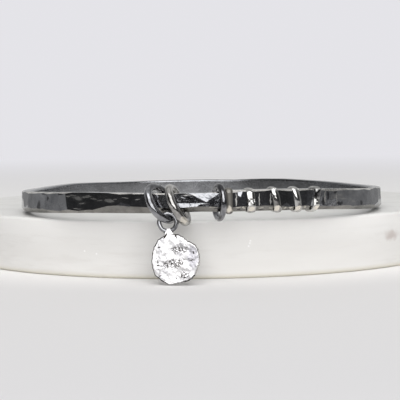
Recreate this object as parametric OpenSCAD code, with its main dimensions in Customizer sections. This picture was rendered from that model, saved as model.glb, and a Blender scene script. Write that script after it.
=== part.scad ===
// Charm bangle on a round display stand.
// The origin is the centre of the stand's underside, +Z is up and the bangle's front faces -Y.
// Angles round the band are measured from its front, positive towards +X.

/* [Band] */
// Outer diameter of the band
band_outer_d = 67; // [56:1:80]
// Thickness of the band, from the wrist outwards
band_t = 1.9; // [1.4:0.1:3]
// Height of the band where it is plain
band_h = 3.5; // [2.6:0.1:6]
// Bevel along the band's upper edges
edge_bevel = 0.35; // [0.1:0.05:0.5]
// Mean height of the bevel that the hammer left along the lower outer edge
low_bevel = 0.8; // [0.3:0.05:1]
// Flats that the hammer left, counted round the band
hammer_flats = 72; // [48:4:96]
// Depth of the deepest hammer mark in the outer face
hammer_depth = 0.14; // [0:0.02:0.25]
// How far the band's front springs up off the stand
front_lift = 1.8; // [0:0.1:3]

/* [Wire wraps] */
// Width of the half-round wire pressed round the band
wrap_w = 1.15; // [0.8:0.05:2]
// How far a wrap stands proud of the band
wrap_proud = 0.24; // [0.2:0.02:0.8]
// Clearance between a wrap and the band
wrap_clear = 0.07; // [0.05:0.01:0.15]

/* [Loose rings] */
// Wire of the left and middle loose rings
ring_wire = 1.3; // [0.9:0.05:1.6]
// Wire of the right loose ring, beside the wraps
right_ring_wire = 1; // [0.8:0.05:1.4]
// Play of the left and middle rings past the band's diagonal
ring_play = 0.85; // [0.7:0.05:2]
// Play of the right ring past the band's diagonal
right_ring_play = 0.25; // [0.25:0.05:1.5]
// Clearance where one hanging piece rests on another
hang_clear = 0.07; // [0.05:0.01:0.15]

/* [Charm] */
// Diameter of the charm's cast disc
charm_d = 7.8; // [6:0.1:12]
// Thickness of the disc at its rim
charm_t = 0.9; // [0.6:0.05:1.6]
// Height of the cast relief on the disc's face
charm_relief = 0.2; // [0:0.02:0.3]
// Height of the tongue that joins the disc to its ring
charm_tongue = 0.45; // [0.3:0.05:2]
// Wire of the ring soldered to the charm
bail_wire = 0.55; // [0.4:0.05:0.8]
// Play between the charm's ring and the loose ring that carries it
bail_play = 1; // [0.8:0.1:1.5]
// Angle at which the charm's foot swings forwards
charm_tilt = 8; // [0:1:20]
// Angle at which the charm turns its face to the left
charm_turn = 10; // [0:1:20]
// How far up the left ring's near side the charm hangs, as an angle round that ring
charm_hang = 21; // [20:1:30]

/* [Stand] */
// Diameter of the display stand
stand_d = 96; // [90:1:120]
// Rounding of the stand's edges
stand_round = 0.5; // [0.2:0.1:1.5]
// How far the band's front overhangs the stand
front_overhang = 6; // [5:0.5:10]
// Gap between the charm's foot and the surface under the stand
floor_gap = 0.25; // [0.25:0.05:3]

/* [Hidden] */
ANGLE = 0;
rest_gap = 0.05;
band_r = band_outer_d / 2;
band_mid_r = band_r - band_t / 2;
band_diagonal = sqrt(band_h * band_h + band_t * band_t);

// The band's form: [angle, rise of the lower edge, height], both as shares of band_h
RISE = 1;
HEIGHT = 2;
band_form = [
    [-180, 0.00, 1.00],
    [-110, 0.00, 1.00],
    [-62, 0.00, 1.04],
    [-35, 0.03, 0.98],
    [-15, -0.03, 0.94],
    [0, 0.02, 0.86],
    [3.5, 0.01, 0.89],
    [6, 0.00, 1.00],
    [22, 0.05, 1.00],
    [39, 0.07, 0.99],
    [62, 0.00, 1.04],
    [110, 0.00, 1.00],
    [180, 0.00, 1.00]
];
// How sharply the spring dies away from the band's front
spring_power = 3;
// How much the low bevel and the spacing of the hammer marks vary, as shares
bevel_sway = 0.35;
mark_sway = 0.25;

// Wraps: [angle round the band, lean of the wrap's top to the left]
LEAN = 1;
wraps = [[7.7, 0], [13.9, 3], [21.5, 10], [28.2, 8], [34.7, -11]];
// Round of a wrap's inside corners, as a share of the band's bevel
wrap_corner = 0.6;
wrap_step = 30;

// Loose rings: [angle round the band, lean of the top to the left, turn of the near side to the left]
TURN = 2;
left_ring = [-11.6, 33, 17];
middle_ring = [-6.8, 26, 5];
right_ring = [5, 0, -11];

// The charm's outline: [angle from its right side, share of the disc's radius]
SHARE = 1;
charm_outline = [
    [12, 1.00], [32, 1.01], [46, 1.00], [58, 0.93], [70, 0.95], [80, 1.05], [95, 1.07], [112, 1.10],
    [128, 1.11], [142, 1.10], [161, 1.03], [182, 1.00], [203, 1.06], [217, 1.06], [231, 1.02],
    [247, 1.06], [261, 0.92], [276, 0.96], [290, 1.03], [305, 1.06], [320, 1.02], [335, 0.99], [355, 0.98]
];
// Lumps of the cast face: [right, up, spread, height], as shares of the disc's radius and of the relief
charm_lumps = [
    [-0.45, 0.62, 0.30, 0.8], [0.30, 0.66, 0.26, 0.6], [-0.62, 0.10, 0.26, 0.7], [0.02, 0.20, 0.34, 0.9],
    [0.62, 0.24, 0.24, 0.6], [-0.40, -0.48, 0.24, 0.7], [0.22, -0.32, 0.26, 0.8], [0.66, -0.34, 0.24, 0.5],
    [-0.05, -0.78, 0.22, 0.7], [0.42, -0.72, 0.20, 0.5]
];
// The disc's rings of points, back to face: [share of its radius, share of its thickness]
DEPTH = 1;
disc_rings = [[0.3, 0], [0.6, 0], [0.85, 0], [1, 0.25], [1, 0.8], [0.85, 1], [0.7, 1], [0.5, 1], [0.3, 1]];
disc_sides = 36;
// The disc's middle lies to the right of its ring, by this share of its radius
charm_offset = 0.37;
// The tongue: radii as shares of the wire and of the disc's thickness, and where its foot lies on the disc
tongue_top = 0.75;
tongue_foot = 0.6;
tongue_spread = 1.6;
tongue_aside = 0.1;
tongue_reach = 0.12;

function rise(a) = lookup(a, [for (row = band_form) [row[ANGLE], row[RISE]]]) * band_h;
function plain_height(a) = lookup(a, [for (row = band_form) [row[ANGLE], row[HEIGHT]]]) * band_h;
function spring_up(a) = front_lift * pow((1 + cos(a)) / 2, spring_power);
function lower_edge(a) = rest_gap + spring_up(a) + rise(a);
function upper_edge(a) = lower_edge(a) + plain_height(a);
function middle(a) = (lower_edge(a) + upper_edge(a)) / 2;

// A repeatable uneven value from 0 to 1, the k-th one of the i-th hammer mark
function uneven(i, k) = rands(0, 1, 1, 100 * k + i)[0];

function outwards(a) = [sin(a), -cos(a), 0];
function along(a) = [cos(a), sin(a), 0];

// The bangle's own frame: its centre is on the stand's top, near the stand's front
bangle_y = -(stand_d / 2 + front_overhang - band_r);
wide_ring_id = band_diagonal + ring_play;
right_ring_id = band_diagonal + right_ring_play;

// How far above a leaned ring's centre its wire's underside crosses, at a distance from its plane's middle
function underside(ring, mean_r, wire, off) = let (up = sqrt(mean_r * mean_r - off * off))
    cos(ring[LEAN]) * up - abs(sin(ring[LEAN]) * sin(ring[TURN])) * off - wire / 2 * mean_r / up;
// The highest edge of the band under a ring's wire
function edge_under(ring, wire) = let (half = asin(wire / 2 / band_mid_r))
    max([for (side = [-1, 0, 1]) upper_edge(ring[ANGLE] + side * half)]) + hang_clear;
// Height of a hanging ring's centre: its wire rests on the bevels of the band's upper edges
function ring_height(ring, id, wire) = let (mean_r = (id + wire) / 2, high = edge_under(ring, wire))
    max(high - underside(ring, mean_r, wire, band_t / 2 - edge_bevel),
        high - edge_bevel - underside(ring, mean_r, wire, band_t / 2));
function ring_centre(ring, id, wire) = band_mid_r * outwards(ring[ANGLE]) + [0, 0, ring_height(ring, id, wire)];

// Directions in a hanging ring's plane: to its foot, and to its near side
function about_z(v, a) = [v[0] * cos(a) - v[1] * sin(a), v[0] * sin(a) + v[1] * cos(a), v[2]];
function to_foot(ring) = about_z([sin(ring[LEAN]), 0, -cos(ring[LEAN])], ring[ANGLE]);
function to_near(ring) = about_z(
    [-sin(ring[TURN]) * cos(ring[LEAN]), -cos(ring[TURN]), -sin(ring[TURN]) * sin(ring[LEAN])], ring[ANGLE]);

// The left ring's wire crosses the charm's ring at hang_point, near the top of that ring's hole
bail_id = ring_wire + bail_play;
bail_r = (bail_id + bail_wire) / 2;
bail_drop = bail_play / 2 - hang_clear;
hang_way = to_foot(left_ring) * cos(charm_hang) + to_near(left_ring) * sin(charm_hang);
hang_point = ring_centre(left_ring, wide_ring_id, ring_wire) + hang_way * (wide_ring_id + ring_wire) / 2;

// The charm hangs just clear of the surface under the stand, and so sets the stand's height
charm_r = charm_d / 2;
disc_drop = bail_r + bail_wire / 2 + charm_tongue + charm_r;
lowest_share = max([for (row = charm_outline) -row[SHARE] * sin(row[ANGLE])]);
charm_length = bail_drop + disc_drop + lowest_share * charm_r;
stand_h = floor_gap - hang_point[2] + cos(charm_tilt) * charm_length + sin(charm_tilt) * charm_t / 2;

module in_bangle_frame() {
    translate([0, bangle_y, stand_h]) children();
}

// A closed tube through a loop of point rings, each ring with as many points as the next
module closed_loop(rings) {
    n = len(rings);
    m = len(rings[0]);
    faces = [for (i = [0 : n - 1], j = [0 : m - 1])
        let (i2 = (i + 1) % n, j2 = (j + 1) % m)
        each [[i * m + j, i2 * m + j, i2 * m + j2], [i * m + j, i2 * m + j2, i * m + j2]]];
    polyhedron(points = [for (ring = rings, p = ring) p], faces = faces, convexity = 6);
}

// The band's section at an angle, as distance outwards and height
function band_section(a, i) =
    let (low = lower_edge(a), high = upper_edge(a), inner = band_r - band_t,
         mark_low = hammer_depth * uneven(i, 1), mark_high = hammer_depth * uneven(i, 2),
         bevel = low_bevel * (1 + bevel_sway * (2 * uneven(i, 3) - 1)))
    [[inner, low + edge_bevel], [inner, high - edge_bevel], [inner + edge_bevel, high],
     [band_r - edge_bevel - hammer_depth, high], [band_r - mark_high, high - edge_bevel],
     [band_r - mark_low, middle(a)], [band_r - mark_high / 2, low + bevel],
     [band_r - hammer_depth - edge_bevel, low], [inner + edge_bevel, low]];

// The band's stations: each stretch of its form is hammered into flats of about one length
function stations() = [for (k = [0 : len(band_form) - 2])
    let (from = band_form[k][ANGLE], span = band_form[k + 1][ANGLE] - from, n = ceil(span * hammer_flats / 360))
    for (i = [0 : n - 1]) from + span * (i + (i == 0 ? 0 : mark_sway * (2 * uneven(i + k, 4) - 1))) / n];

module bangle_band() {
    angles = stations();
    color("dimgray") in_bangle_frame() closed_loop([for (i = [0 : len(angles) - 1])
        [for (p = band_section(angles[i], i)) p[0] * outwards(angles[i]) + [0, 0, p[1]]]]);
}

// The path round the band's section: a rectangle with round corners, [outwards, up, facing angle]
function wrap_path(half_w, half_h, corner) = [for (quarter = [0 : 3], step = [0 : wrap_step : 90])
    let (facing = quarter * 90 + step, out = (quarter % 3 == 0) ? 1 : -1, up = (quarter < 2) ? 1 : -1)
    [out * (half_w - corner) + corner * cos(facing), up * (half_h - corner) + corner * sin(facing), facing]];

module wrap(place) {
    a = place[ANGLE];
    slope = tan(place[LEAN]);
    up = [0, 0, 1];
    centre = band_mid_r * outwards(a) + up * middle(a);
    path = wrap_path(band_t / 2 + wrap_clear, plain_height(a) / 2 + wrap_clear, edge_bevel * wrap_corner);
    color("silver") in_bangle_frame() closed_loop([for (p = path)
        let (foot = centre + outwards(a) * p[0] + (up - along(a) * slope) * p[1],
             proud = outwards(a) * cos(p[2]) + up * sin(p[2]),
             across = along(a) + up * slope * pow(cos(p[2]), 2))
        [for (s = [0 : wrap_step : 180]) foot - across * cos(s) * wrap_w / 2 + proud * sin(s) * wrap_proud]]);
}

module ring_of(d_inside, wire) {
    rotate_extrude($fn = 64) translate([(d_inside + wire) / 2, 0]) circle(d = wire, $fn = 32);
}

module loose_ring(ring, id, wire) {
    in_bangle_frame() translate(ring_centre(ring, id, wire)) rotate([0, 0, ring[ANGLE]])
        rotate([0, -ring[LEAN], 0]) rotate([0, 0, -ring[TURN]]) rotate([0, 90, 0]) ring_of(id, wire);
}

module wrap_1() { wrap(wraps[0]); }
module wrap_2() { wrap(wraps[1]); }
module wrap_3() { wrap(wraps[2]); }
module wrap_4() { wrap(wraps[3]); }
module wrap_5() { wrap(wraps[4]); }
module loose_ring_left() { color("gray") loose_ring(left_ring, wide_ring_id, ring_wire); }
module loose_ring_middle() { color("darkgray") loose_ring(middle_ring, wide_ring_id, ring_wire); }
module loose_ring_right() { color("slategray") loose_ring(right_ring, right_ring_id, right_ring_wire); }

function outline_at(a) = charm_r * lookup(a, [for (k = [-1 : 1], row = charm_outline)
    [row[ANGLE] + 360 * k, row[SHARE]]]);
function lump_height(x, y) = charm_relief * min(1, max([for (lump = charm_lumps)
    lump[3] * exp(-(pow(x / charm_r - lump[0], 2) + pow(y / charm_r - lump[1], 2)) / pow(lump[2], 2))]));

// The disc stands upright, its face towards -Y: rings of points between the back's middle and the face's
module charm_disc() {
    last_ring = len(disc_rings) - 1;
    rings = [for (row = disc_rings) [for (s = [0 : disc_sides - 1])
        let (a = s * 360 / disc_sides, r = outline_at(a) * row[0], x = r * cos(a), y = r * sin(a))
        [x, -charm_t * row[DEPTH] - (row[DEPTH] == 1 ? lump_height(x, y) : 0), y]]];
    points = concat([[0, 0, 0]], [for (ring = rings, p = ring) p], [[0, -charm_t - lump_height(0, 0), 0]]);
    last = len(points) - 1;
    function at(k, s) = 1 + k * disc_sides + s % disc_sides;
    polyhedron(points = points, convexity = 4, faces = concat(
        [for (s = [0 : disc_sides - 1]) [0, at(0, s), at(0, s + 1)]],
        [for (k = [0 : last_ring - 1], s = [0 : disc_sides - 1])
            each [[at(k, s), at(k + 1, s + 1), at(k, s + 1)], [at(k, s), at(k + 1, s), at(k + 1, s + 1)]]],
        [for (s = [0 : disc_sides - 1]) [last, at(last_ring, s + 1), at(last_ring, s)]]));
}

// The tongue of metal that runs from the disc up to the foot of its ring
module charm_tongue_drop() {
    hull() {
        translate([0, 0, -bail_r]) sphere(r = bail_wire * tongue_top, $fn = 16);
        translate([tongue_aside * charm_r, 0, -disc_drop + (1 - tongue_reach) * charm_r])
            scale([tongue_spread, 1, 1]) sphere(r = charm_t * tongue_foot, $fn = 16);
    }
}

module charm() {
    color("gainsboro") in_bangle_frame() translate(hang_point) rotate([-charm_tilt, 0, -charm_turn])
        translate([0, 0, -bail_drop]) {
            rotate([90, 0, 0]) ring_of(bail_id, bail_wire);
            charm_tongue_drop();
            translate([charm_offset * charm_r, charm_t / 2, -disc_drop]) charm_disc();
        }
}

module display_stand() {
    r = stand_d / 2;
    color("whitesmoke") rotate_extrude($fn = 180) {
        translate([0, stand_round]) square([r, stand_h - 2 * stand_round]);
        square([r - stand_round, stand_h]);
        for (z = [stand_round, stand_h - stand_round])
            translate([r - stand_round, z]) circle(r = stand_round, $fn = 32);
    }
}

bangle_band();
wrap_1();
wrap_2();
wrap_3();
wrap_4();
wrap_5();
loose_ring_left();
loose_ring_middle();
loose_ring_right();
charm();
display_stand();
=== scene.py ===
import math
import random

import bmesh
import bpy
from mathutils import Euler, Matrix, Vector


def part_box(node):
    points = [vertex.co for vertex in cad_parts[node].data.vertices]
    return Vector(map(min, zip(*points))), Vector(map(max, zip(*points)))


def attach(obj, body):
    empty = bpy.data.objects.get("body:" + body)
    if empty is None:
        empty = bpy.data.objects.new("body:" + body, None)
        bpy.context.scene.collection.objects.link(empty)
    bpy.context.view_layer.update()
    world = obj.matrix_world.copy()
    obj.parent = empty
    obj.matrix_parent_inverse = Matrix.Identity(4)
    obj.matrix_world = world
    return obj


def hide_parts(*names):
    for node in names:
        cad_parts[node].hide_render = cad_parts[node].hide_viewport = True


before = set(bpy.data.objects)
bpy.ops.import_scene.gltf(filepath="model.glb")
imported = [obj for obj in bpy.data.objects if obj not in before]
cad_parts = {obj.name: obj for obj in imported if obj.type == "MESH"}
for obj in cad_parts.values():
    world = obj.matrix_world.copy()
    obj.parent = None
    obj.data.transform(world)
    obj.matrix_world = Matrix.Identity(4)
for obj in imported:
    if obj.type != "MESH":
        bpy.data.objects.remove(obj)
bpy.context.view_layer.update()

mm = 0.001
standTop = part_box("display_stand")[1].z
bangleCentre = Vector((0, -20.5 * mm, standTop))
mergeWithin, cutWithin = 0.000002, 0.0000005  # points closer than this are one


# working in edit mode, as by hand
def startFresh():
    bpy.ops.object.select_all(action="DESELECT")


def only(piece):
    startFresh()
    piece.select_set(True)
    bpy.context.view_layer.objects.active = piece


def editPiece(piece):
    only(piece)
    bpy.ops.object.mode_set(mode="EDIT")


def leaveEdit():
    bpy.ops.object.mode_set(mode="OBJECT")


def takeAll():
    bpy.ops.mesh.select_all(action="SELECT")


def pick(test, what="verts"):
    mesh = bmesh.from_edit_mesh(bpy.context.object.data)
    bpy.ops.mesh.select_mode(type={"verts": "VERT", "edges": "EDGE", "faces": "FACE"}[what])
    bpy.ops.mesh.select_all(action="DESELECT")
    for item in getattr(mesh, what):
        if test(item):
            item.select_set(True)
    mesh.select_flush_mode()
    bmesh.update_edit_mesh(bpy.context.object.data, loop_triangles=False, destructive=False)


def closeSkin():  # joins the seam of a spun piece and turns its faces outwards
    takeAll()
    bpy.ops.mesh.remove_doubles(threshold=mergeWithin)
    bpy.ops.mesh.normals_make_consistent(inside=False)


def applyModifier(piece, kind, **settings):
    bpy.context.view_layer.objects.active = piece
    added = piece.modifiers.new(kind.title(), kind)
    for key, value in settings.items():
        setattr(added, key, value)
    bpy.ops.object.modifier_apply(modifier=added.name)


def settle(piece, name):
    only(piece)
    bpy.ops.object.transform_apply(location=True, rotation=True, scale=True)
    piece.name = piece.data.name = name


def angleOf(point):
    return math.degrees(math.atan2(point.x, bangleCentre.y - point.y))


def table(rows, angle, column):
    for low, high in zip(rows, rows[1:]):
        if low[0] <= angle <= high[0]:
            share = (angle - low[0]) / (high[0] - low[0])
            return low[column] + (high[column] - low[column]) * share
    return rows[-1][column]


def apart(first, second):  # degrees between two directions
    return abs((first - second + 180) % 360 - 180)


# the photo's camera, from the bangle's centre
shot = {"back": 240 * mm, "above": 17.8 * mm, "lens": 115.2, "pitch": 3.86, "roll": 0.66, "aside": -0.00375}

startFresh()
bpy.ops.object.camera_add(location=bangleCentre + Vector((0, -shot["back"], shot["above"])))
camera = bpy.context.object
camera.name = "photoCamera"
tilted = Euler((math.radians(90 - shot["pitch"]), 0, 0)).to_matrix()
camera.rotation_euler = (tilted @ Euler((0, 0, -math.radians(shot["roll"]))).to_matrix()).to_euler()
camera.data.lens = shot["lens"]
camera.data.sensor_width = 36
camera.data.shift_x = shot["aside"]
camera.data.clip_start = 0.01
bpy.context.scene.camera = camera
print("camera ready")


# materials
def newMaterial(name):
    material = bpy.data.materials.new(name)
    material.use_nodes = True
    return material, material.node_tree


def feed(tree, value, socket):  # with a number, a colour or another node's output
    if isinstance(value, bpy.types.NodeSocket):
        tree.links.new(value, socket)
    else:
        socket.default_value = (*value, 1) if socket.type == "RGBA" else value


def addNode(tree, kind, label="", **values):
    node = tree.nodes.new(kind)
    node.label = label
    for key, value in values.items():
        if key in node.inputs:
            feed(tree, value, node.inputs[key])
        else:
            setattr(node, key, value)
    return node


def ramp(tree, source, low, high, first=0.0, last=1.0):  # grey, from first at low to last at high
    node = addNode(tree, "ShaderNodeValToRGB", Fac=source)
    for element, place, grey in zip(node.color_ramp.elements, (low, high), (first, last)):
        element.position = place
        element.color = (grey, grey, grey, 1)
    return node.outputs["Color"]


def mapRange(tree, source, low, high, first=0, last=1, label="soft edge", smooth=True):
    node = addNode(tree, "ShaderNodeMapRange", label, interpolation_type="SMOOTHSTEP" if smooth else "LINEAR",
                   Value=source, **{"From Min": low, "From Max": high, "To Min": first, "To Max": last})
    return node.outputs[0]


def calc(tree, operation, *values, kind="ShaderNodeMath", output="Value"):
    node = addNode(tree, kind, operation=operation)
    for value, socket in zip(values, node.inputs):
        feed(tree, value, socket)
    return node.outputs[output]


def vectorCalc(tree, operation, *values):
    measured = operation in ("LENGTH", "DOT_PRODUCT")
    return calc(tree, operation, *values, kind="ShaderNodeVectorMath", output="Value" if measured else "Vector")


def scaled(tree, source, factor):
    return calc(tree, "MULTIPLY", source, factor)


def away01(tree, source):  # how far a value lies from the middle
    return calc(tree, "ABSOLUTE", calc(tree, "SUBTRACT", source, 0.5))


def joinMasks(tree, masks):
    whole = masks[0]
    for mask in masks[1:]:
        whole = calc(tree, "MAXIMUM", whole, mask)
    return whole


def noise(tree, source, label, **look):
    return addNode(tree, "ShaderNodeTexNoise", label, Vector=source, **look).outputs["Fac"]


def wobble(tree, source, scale, amount):  # moves a pattern's edges about
    moved = addNode(tree, "ShaderNodeTexNoise", "ragged edges", Vector=source, Scale=scale, Detail=3.0)
    start = vectorCalc(tree, "SUBTRACT", source, (amount / 2,) * 3)
    return vectorCalc(tree, "MULTIPLY_ADD", moved.outputs["Color"], (amount,) * 3, start)


def patch(tree, source, centre, halves, turn=(0, 0, 0), edge=(0.6, 1.05)):  # 1 inside a soft ellipsoid, 0 outside
    local = addNode(tree, "ShaderNodeMapping", "patch", vector_type="TEXTURE", Vector=source, Location=centre,
                    Rotation=turn, Scale=halves)
    return mapRange(tree, vectorCalc(tree, "LENGTH", local.outputs[0]), *edge, 1, 0)


def patches(tree, source, rows, **look):
    return joinMasks(tree, [patch(tree, source, *row, **look) for row in rows])


def mixColour(tree, share, first, second, label=""):
    node = addNode(tree, "ShaderNodeMix", label, data_type="RGBA", Factor=share)
    feed(tree, first, node.inputs[6])
    feed(tree, second, node.inputs[7])
    return node.outputs[2]


def mixShaders(tree, label, share, first, second):
    node = addNode(tree, "ShaderNodeMixShader", label, Fac=share)
    feed(tree, first, node.inputs[1])
    feed(tree, second, node.inputs[2])
    return node.outputs[0]


def dress(tree, colour, roughness, height, **bump):
    raised = addNode(tree, "ShaderNodeBump", "fine relief", Height=height, **bump)
    shader = tree.nodes["Principled BSDF"]
    for socket, value in (("Base Color", colour), ("Roughness", roughness), ("Normal", raised.outputs["Normal"])):
        tree.links.new(value, shader.inputs[socket])


# old silver: each noise by its sockets, and the range of it that shows
silver = {
    "tarnish": {"Scale": 420.0, "Detail": 4.0, "Roughness": 0.6}, "tarnishFrom": (0.42, 0.66),
    "streaks": {"Scale": 230.0, "Detail": 5.0, "Roughness": 0.65, "Distortion": 0.6}, "streaksFrom": (0.50, 0.62),
    "scratches": {"Scale": 4200.0, "Detail": 2.0, "Roughness": 0.5}, "scratchesFrom": (0.3, 0.7), "scratchHeight": 0.05,
    "dents": {"Scale": 700.0, "Detail": 1.0},
    # ragged edges of patches: scale of the noise and how far it moves them
    "ragged": (1100.0, 0.0012), "nearlyStraight": (2200.0, 0.0004), "flowing": (420.0, 0.0008),
    "smearEdge": (0.35, 1.2), "smearLeast": 0.72, "streakyShare": 0.5, "rubbedRoughness": 0.42,
    "spotColour": (0.05, 0.05, 0.055), "cutColour": (0.05, 0.052, 0.06), "markShare": 0.85,
    # deeper cuts: their slant in degrees and how long they are stretched
    "cuts": {"Scale": 2300.0, "Detail": 4.0, "Roughness": 0.6, "Distortion": 0.5}, "cutsFrom": (0.46, 0.62),
    "cutSlant": 35, "cutStretch": (3.2, 3.2, 1),
    "wrinkles": {"Scale": 1100.0, "Detail": 4.0, "Roughness": 0.55, "Distortion": 1.0}, "wrinkleHeight": 2.3,
}


def wearGroup():  # tarnish, rubbed streaks, polishing scratches and soft dents
    group = bpy.data.node_groups.new("silverWear", "ShaderNodeTree")
    for name, value in (("Scale", 1.0), ("Dents", 0.5), ("Stretch", 3.5)):
        group.interface.new_socket(name=name, in_out="INPUT", socket_type="NodeSocketFloat").default_value = value
    for name in ("Tarnish", "Streak", "Scratch", "Height"):
        group.interface.new_socket(name=name, in_out="OUTPUT", socket_type="NodeSocketFloat")
    entry = group.nodes.new("NodeGroupInput")
    place = addNode(group, "ShaderNodeTexCoord").outputs["Object"]
    sized = addNode(group, "ShaderNodeVectorMath", operation="SCALE", Vector=place, Scale=entry.outputs["Scale"])
    sized = sized.outputs["Vector"]
    flatter = addNode(group, "ShaderNodeCombineXYZ", X=1.0, Y=1.0, Z=entry.outputs["Stretch"])
    long = vectorCalc(group, "MULTIPLY", sized, flatter.outputs[0])
    tarnish = ramp(group, noise(group, sized, "tarnish", **silver["tarnish"]), *silver["tarnishFrom"])
    streaks = ramp(group, noise(group, long, "rubbed streaks", **silver["streaks"]), *silver["streaksFrom"])
    scratches = noise(group, sized, "scratches", **silver["scratches"])
    dents = calc(group, "MULTIPLY", noise(group, sized, "soft dents", **silver["dents"]), entry.outputs["Dents"])
    height = calc(group, "MULTIPLY_ADD", scratches, silver["scratchHeight"], dents)
    addNode(group, "NodeGroupOutput", Tarnish=tarnish, Streak=streaks, Scratch=scratches, Height=height)
    return group


silverWear = wearGroup()


# clean and tarnished colour, lowest and highest roughness, then the patches that are rubbed, those painted with sheen,
# and those marked
def silverMaterial(name, clean, dark, shine, dull, scale=1.0, dents=0.5, bump=0.00002, rubbedAndSheen=None, rubsAndSheen=(), sheenAndSolderLines=(),
                   smears=(), streaky=(), spots=(), worked=(), scratched=()):
    material, tree = newMaterial(name)
    tree.nodes["Principled BSDF"].inputs["Metallic"].default_value = 1.0
    wear = addNode(tree, "ShaderNodeGroup", "wear", node_tree=silverWear, Scale=scale, Dents=dents)
    streak, height = wear.outputs["Streak"], wear.outputs["Height"]
    colour = mixColour(tree, wear.outputs["Tarnish"], clean, dark, "tarnish")
    roughness = mapRange(tree, wear.outputs["Scratch"], *silver["scratchesFrom"], shine, dull, "polish", smooth=False)
    plain = addNode(tree, "ShaderNodeTexCoord").outputs["Object"]
    ragged, nearly = wobble(tree, plain, *silver["ragged"]), wobble(tree, plain, *silver["nearlyStraight"])
    if rubbedAndSheen:
        masks = [patch(tree, ragged, *row) for row in rubsAndSheen] + [patch(tree, nearly, *row) for row in sheenAndSolderLines]
        if smears:
            smear = patches(tree, wobble(tree, plain, *silver["flowing"]), smears, edge=silver["smearEdge"])
            masks.append(calc(tree, "MULTIPLY", smear, ramp(tree, streak, 0.0, 1.0, silver["smearLeast"])))
        if streaky:
            where = calc(tree, "MULTIPLY", patches(tree, ragged, streaky), streak)
            masks.append(scaled(tree, where, silver["streakyShare"]))
        rub = joinMasks(tree, masks)
        colour = mixColour(tree, rub, colour, rubbedAndSheen, "rubbed streaks")
        roughness = calc(tree, "MAXIMUM", roughness, scaled(tree, rub, silver["rubbedRoughness"]))
    if spots:
        marks = scaled(tree, patches(tree, ragged, spots), silver["markShare"])
        colour = mixColour(tree, marks, colour, silver["spotColour"], "dark spots")
    if scratched:
        slanted = addNode(tree, "ShaderNodeMapping", "slanted", vector_type="TEXTURE", Vector=ragged,
                          Rotation=(0, math.radians(silver["cutSlant"]), 0), Scale=silver["cutStretch"])
        cuts = ramp(tree, noise(tree, slanted.outputs[0], "scratches", **silver["cuts"]), *silver["cutsFrom"])
        marks = calc(tree, "MULTIPLY", cuts, patches(tree, ragged, scratched))
        colour = mixColour(tree, scaled(tree, marks, silver["markShare"]), colour, silver["cutColour"], "scratches")
    if worked:
        wrinkles = noise(tree, ragged, "wrinkles", **silver["wrinkles"])
        marked = calc(tree, "MULTIPLY", patches(tree, ragged, worked), wrinkles)
        height = calc(tree, "ADD", height, scaled(tree, marked, silver["wrinkleHeight"]))
    dress(tree, colour, roughness, height, Strength=1.0, Distance=bump)
    return material


edgeSilver = silverMaterial("edgeSilver", (0.76, 0.74, 0.71), (0.46, 0.45, 0.43), 0.15, 0.35)
insideSilver = silverMaterial("insideSilver", (0.20, 0.203, 0.213), (0.15, 0.152, 0.16), 0.16, 0.3)
ringSilver = silverMaterial("ringSilver", (0.36, 0.365, 0.38), (0.17, 0.172, 0.182), 0.08, 0.2, scale=1.6)
paleRingSilver = silverMaterial("paleRingSilver", (0.54, 0.53, 0.51), (0.20, 0.195, 0.19), 0.08, 0.22, scale=1.6,
                                rubbedAndSheen=(0.80, 0.76, 0.68),
                                rubsAndSheen=[(Vector((-2.6, -55.2, 10.6)) * mm, (1.1 * mm, 1.6 * mm, 0.8 * mm))])
# the dark spot on the right ring's top is painted shade
darkRingSilver = silverMaterial("darkRingSilver", (0.33, 0.332, 0.345), (0.09, 0.092, 0.10), 0.07, 0.18, scale=1.6,
                                spots=[(Vector((2.8, -54.0, 16.4)) * mm, (2.2 * mm, 3.2 * mm, 1.7 * mm))])


def paintedShadeAcross(material, leftX, rightX, left, right):  # painted light and shade: one side of a piece lighter than the other, as light falls on it
    tree = material.node_tree
    socket = tree.nodes["Principled BSDF"].inputs["Base Color"]
    plain = addNode(tree, "ShaderNodeTexCoord").outputs["Object"]
    across = addNode(tree, "ShaderNodeSeparateXYZ", Vector=plain).outputs["X"]
    share = mapRange(tree, across, leftX, rightX, left, right, "from left to right")
    dimmed = addNode(tree, "ShaderNodeVectorMath", operation="SCALE", Vector=socket.links[0].from_socket, Scale=share)
    tree.links.new(dimmed.outputs["Vector"], socket)


# painted light on the inside's left, painted shade on its right
paintedShadeAcross(insideSilver, leftX=-16 * mm, rightX=14 * mm, left=2.0, right=1.1)
print("silver ready")

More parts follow.
